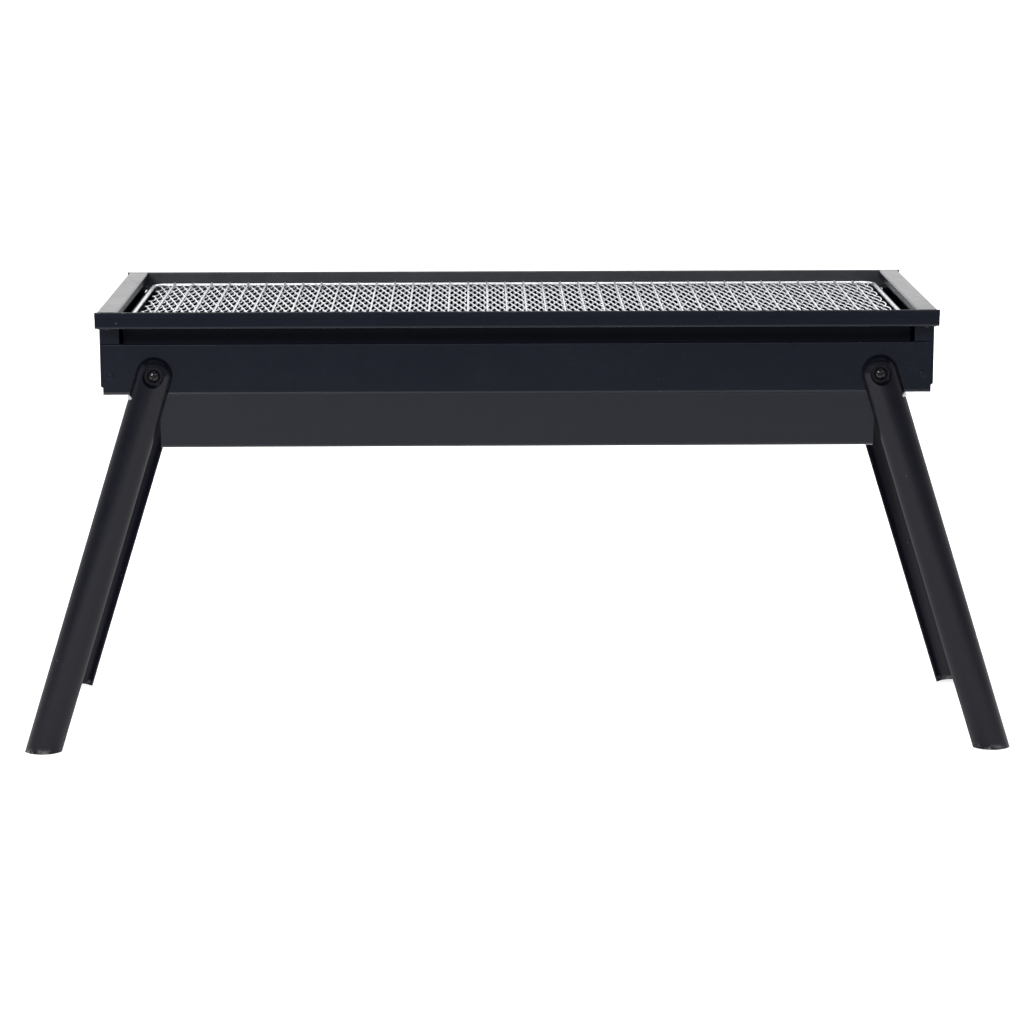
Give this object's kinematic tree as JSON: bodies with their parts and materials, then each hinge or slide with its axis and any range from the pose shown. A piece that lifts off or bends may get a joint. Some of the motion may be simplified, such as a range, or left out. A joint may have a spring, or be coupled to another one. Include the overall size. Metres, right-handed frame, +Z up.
{
  "type": "folding camp grill",
  "caption": "Low charcoal grill: a long black sheet-steel firebox with a lift-off wire cooking net and charcoal grate, standing on splayed half-round legs that fold up along its sides.",
  "frame": {"origin": "on the ground below the middle of the firebox, with the legs open", "axes": "+X along the firebox towards its right end, +Y from front to rear, +Z up"},
  "size_m": [0.7242, 0.225, 0.327],
  "materials": {
    "black_enamel": "semi-gloss black heat-resistant paint on steel sheet",
    "leg_enamel": "satin black paint on folded steel channel",
    "grate_steel": "matt black heat-resistant paint, sooted",
    "galvanised_wire": "bright galvanised steel wire",
    "black_hardware": "gloss black plated steel",
    "zinc_steel": "bright zinc plated steel"
  },
  "bodies": {
    "firebox": {"firebox_trough": "black_enamel", "left_trough_end": "black_enamel", "right_trough_end": "black_enamel", "left_end_panel": "black_enamel", "right_end_panel": "black_enamel", "front_rail": "black_enamel", "rear_rail": "black_enamel", "left_stop_rod": "zinc_steel", "right_stop_rod": "zinc_steel", "panel_rivets": "black_enamel", "rail_rivets": "black_hardware", "front_left_pivot_bolt": "black_hardware", "front_left_pivot_spacer": "zinc_steel", "front_left_pivot_nut": "zinc_steel", "front_right_pivot_bolt": "black_hardware", "front_right_pivot_spacer": "zinc_steel", "front_right_pivot_nut": "zinc_steel", "rear_left_pivot_bolt": "black_hardware", "rear_left_pivot_spacer": "zinc_steel", "rear_left_pivot_nut": "zinc_steel", "rear_right_pivot_bolt": "black_hardware", "rear_right_pivot_spacer": "zinc_steel", "rear_right_pivot_nut": "zinc_steel"},
    "charcoal_grate": {"charcoal_grate": "grate_steel"},
    "cooking_net": {"net_border_wire": "galvanised_wire", "net_support_wires": "galvanised_wire", "net_mesh": "galvanised_wire"},
    "front_left_leg": {"front_left_leg": "leg_enamel"},
    "front_right_leg": {"front_right_leg": "leg_enamel"},
    "rear_left_leg": {"rear_left_leg": "leg_enamel"},
    "rear_right_leg": {"rear_right_leg": "leg_enamel"}
  },
  "joints": [
    {"name": "front_left_leg_fold", "type": "hinge", "parent": "firebox", "child": "front_left_leg", "pos_m": [-0.2605, -0.0985, 0.279], "axis": [0, -1, 0], "range_deg": [0, 107.5]},
    {"name": "front_right_leg_fold", "type": "hinge", "parent": "firebox", "child": "front_right_leg", "pos_m": [0.2605, -0.0985, 0.279], "axis": [0, 1, 0], "range_deg": [0, 100]},
    {"name": "rear_left_leg_fold", "type": "hinge", "parent": "firebox", "child": "rear_left_leg", "pos_m": [-0.2605, 0.0985, 0.279], "axis": [0, -1, 0], "range_deg": [0, 107.5]},
    {"name": "rear_right_leg_fold", "type": "hinge", "parent": "firebox", "child": "rear_right_leg", "pos_m": [0.2605, 0.0985, 0.279], "axis": [0, 1, 0], "range_deg": [0, 100]},
    {"name": "charcoal_grate_lift", "type": "slide", "parent": "firebox", "child": "charcoal_grate", "axis": [0, 0, 1], "range_m": [0, 0.08]},
    {"name": "cooking_net_lift", "type": "slide", "parent": "charcoal_grate", "child": "cooking_net", "axis": [0, 0, 1], "range_m": [0, 0.06]}
  ]
}
